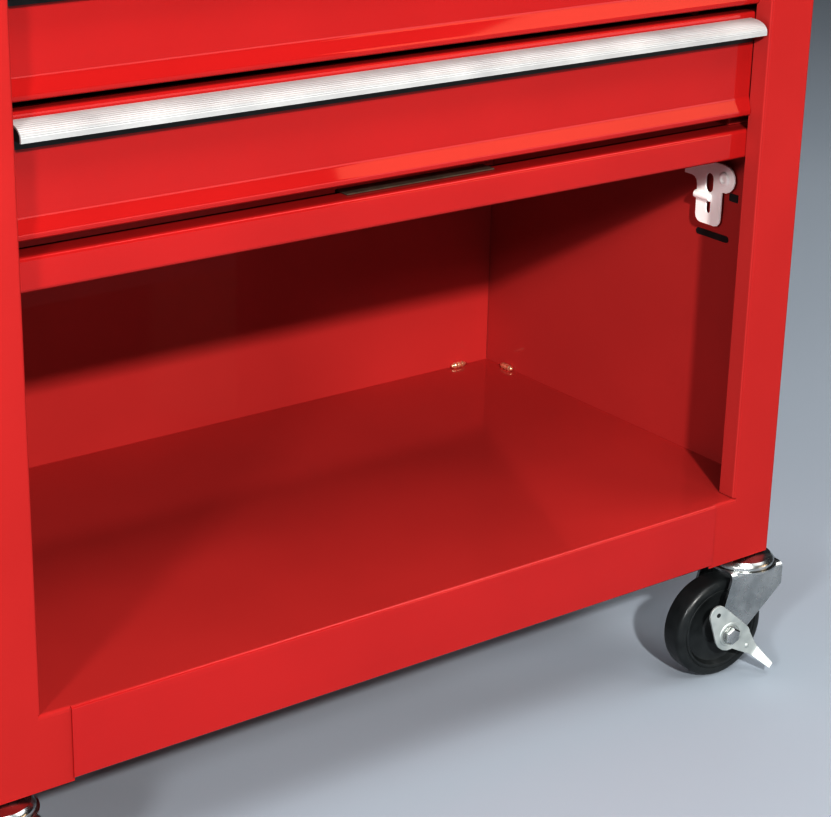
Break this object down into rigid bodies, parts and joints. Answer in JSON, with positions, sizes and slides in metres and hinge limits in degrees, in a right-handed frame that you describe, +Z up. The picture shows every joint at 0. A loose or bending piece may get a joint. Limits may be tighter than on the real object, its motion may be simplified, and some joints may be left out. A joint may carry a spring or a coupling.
{
  "type": "rolling tool cabinet",
  "caption": "Red folded-steel rolling tool cabinet with full-width-pull drawers on slides over an open bay, braked swivel casters in front and rigid casters behind.",
  "frame": {"origin": "on the ground under the middle of the footprint, brake pedals included", "axes": "+X to the right as seen from the front, +Y to the back, +Z up; the drawers open along -Y"},
  "size_m": [0.7039, 0.3773, 0.8033],
  "materials": {
    "red_enamel": "glossy red enamel on folded sheet steel",
    "zinc_plate": "bright zinc plate",
    "slide_steel": "plain plated steel",
    "ribbed_aluminium": "bright extruded aluminium with fine ribs",
    "black_moulding": "black moulded wheel, satin"
  },
  "bodies": {
    "cabinet": {"side_panel_left": "red_enamel", "side_panel_right": "red_enamel", "back_panel": "red_enamel", "base_pan": "red_enamel", "divider_rail": "red_enamel", "top_rail": "red_enamel", "top_panel": "red_enamel", "slide_upright_front_left": "red_enamel", "slide_upright_front_right": "red_enamel", "slide_upright_rear_left": "red_enamel", "slide_upright_rear_right": "red_enamel", "latch_strip": "slide_steel", "catch_rivet": "zinc_plate", "caster_race_front_left": "zinc_plate", "caster_race_front_right": "zinc_plate", "caster_bracket_rear_left": "zinc_plate", "caster_bracket_rear_right": "zinc_plate", "caster_axle_rear_left": "zinc_plate", "caster_axle_rear_right": "zinc_plate", "drawer_1_outer_slide_left": "slide_steel", "drawer_1_outer_slide_right": "slide_steel", "drawer_2_outer_slide_left": "slide_steel", "drawer_2_outer_slide_right": "slide_steel", "drawer_3_outer_slide_left": "slide_steel", "drawer_3_outer_slide_right": "slide_steel", "drawer_4_outer_slide_left": "slide_steel", "drawer_4_outer_slide_right": "slide_steel"},
    "drawer_1": {"drawer_1_front": "red_enamel", "drawer_1_tray": "red_enamel", "drawer_1_pull": "ribbed_aluminium", "drawer_1_inner_slide_left": "slide_steel", "drawer_1_inner_slide_right": "slide_steel"},
    "drawer_2": {"drawer_2_front": "red_enamel", "drawer_2_tray": "red_enamel", "drawer_2_pull": "ribbed_aluminium", "drawer_2_inner_slide_left": "slide_steel", "drawer_2_inner_slide_right": "slide_steel"},
    "drawer_3": {"drawer_3_front": "red_enamel", "drawer_3_tray": "red_enamel", "drawer_3_pull": "ribbed_aluminium", "drawer_3_inner_slide_left": "slide_steel", "drawer_3_inner_slide_right": "slide_steel"},
    "drawer_4": {"drawer_4_front": "red_enamel", "drawer_4_tray": "red_enamel", "drawer_4_pull": "ribbed_aluminium", "drawer_4_inner_slide_left": "slide_steel", "drawer_4_inner_slide_right": "slide_steel"},
    "catch": {"catch_plate": "zinc_plate"},
    "fork_front_left": {"caster_fork_front_left": "zinc_plate", "caster_axle_front_left": "zinc_plate"},
    "wheel_front_left": {"caster_wheel_front_left": "black_moulding"},
    "brake_front_left": {"brake_lever_front_left": "zinc_plate"},
    "fork_front_right": {"caster_fork_front_right": "zinc_plate", "caster_axle_front_right": "zinc_plate"},
    "wheel_front_right": {"caster_wheel_front_right": "black_moulding"},
    "brake_front_right": {"brake_lever_front_right": "zinc_plate"},
    "wheel_rear_left": {"caster_wheel_rear_left": "black_moulding"},
    "wheel_rear_right": {"caster_wheel_rear_right": "black_moulding"}
  },
  "joints": [
    {"name": "drawer_1_slide", "type": "slide", "parent": "cabinet", "child": "drawer_1", "axis": [0, -1, 0], "range_m": [0, 0.25]},
    {"name": "drawer_2_slide", "type": "slide", "parent": "cabinet", "child": "drawer_2", "axis": [0, -1, 0], "range_m": [0, 0.25]},
    {"name": "drawer_3_slide", "type": "slide", "parent": "cabinet", "child": "drawer_3", "axis": [0, -1, 0], "range_m": [0, 0.25]},
    {"name": "drawer_4_slide", "type": "slide", "parent": "cabinet", "child": "drawer_4", "axis": [0, -1, 0], "range_m": [0, 0.25]},
    {"name": "catch_turn", "type": "hinge", "parent": "cabinet", "child": "catch", "pos_m": [0.3303, -0.0986, 0.3836], "axis": [1, 0, 0], "range_deg": [0, 25]},
    {"name": "swivel_front_left", "type": "hinge", "parent": "cabinet", "child": "fork_front_left", "pos_m": [-0.322, -0.1546, 0.088], "axis": [0, 0, 1], "continuous": true},
    {"name": "wheel_spin_front_left", "type": "hinge", "parent": "fork_front_left", "child": "wheel_front_left", "pos_m": [-0.322, -0.1296, 0.041], "axis": [1, 0, 0], "continuous": true},
    {"name": "brake_tip_front_left", "type": "hinge", "parent": "fork_front_left", "child": "brake_front_left", "pos_m": [-0.322, -0.1296, 0.041], "axis": [-1, 0, 0], "range_deg": [0, 35]},
    {"name": "swivel_front_right", "type": "hinge", "parent": "cabinet", "child": "fork_front_right", "pos_m": [0.322, -0.1546, 0.088], "axis": [0, 0, 1], "continuous": true},
    {"name": "wheel_spin_front_right", "type": "hinge", "parent": "fork_front_right", "child": "wheel_front_right", "pos_m": [0.29714, -0.15199, 0.041], "axis": [0.1045, 0.9945, 0], "continuous": true},
    {"name": "brake_tip_front_right", "type": "hinge", "parent": "fork_front_right", "child": "brake_front_right", "pos_m": [0.29714, -0.15199, 0.041], "axis": [-0.1045, -0.9945, 0], "range_deg": [0, 35]},
    {"name": "wheel_spin_rear_left", "type": "hinge", "parent": "cabinet", "child": "wheel_rear_left", "pos_m": [-0.3005, 0.1476, 0.041], "axis": [1, 0, 0], "continuous": true},
    {"name": "wheel_spin_rear_right", "type": "hinge", "parent": "cabinet", "child": "wheel_rear_right", "pos_m": [0.3005, 0.1476, 0.041], "axis": [1, 0, 0], "continuous": true}
  ]
}
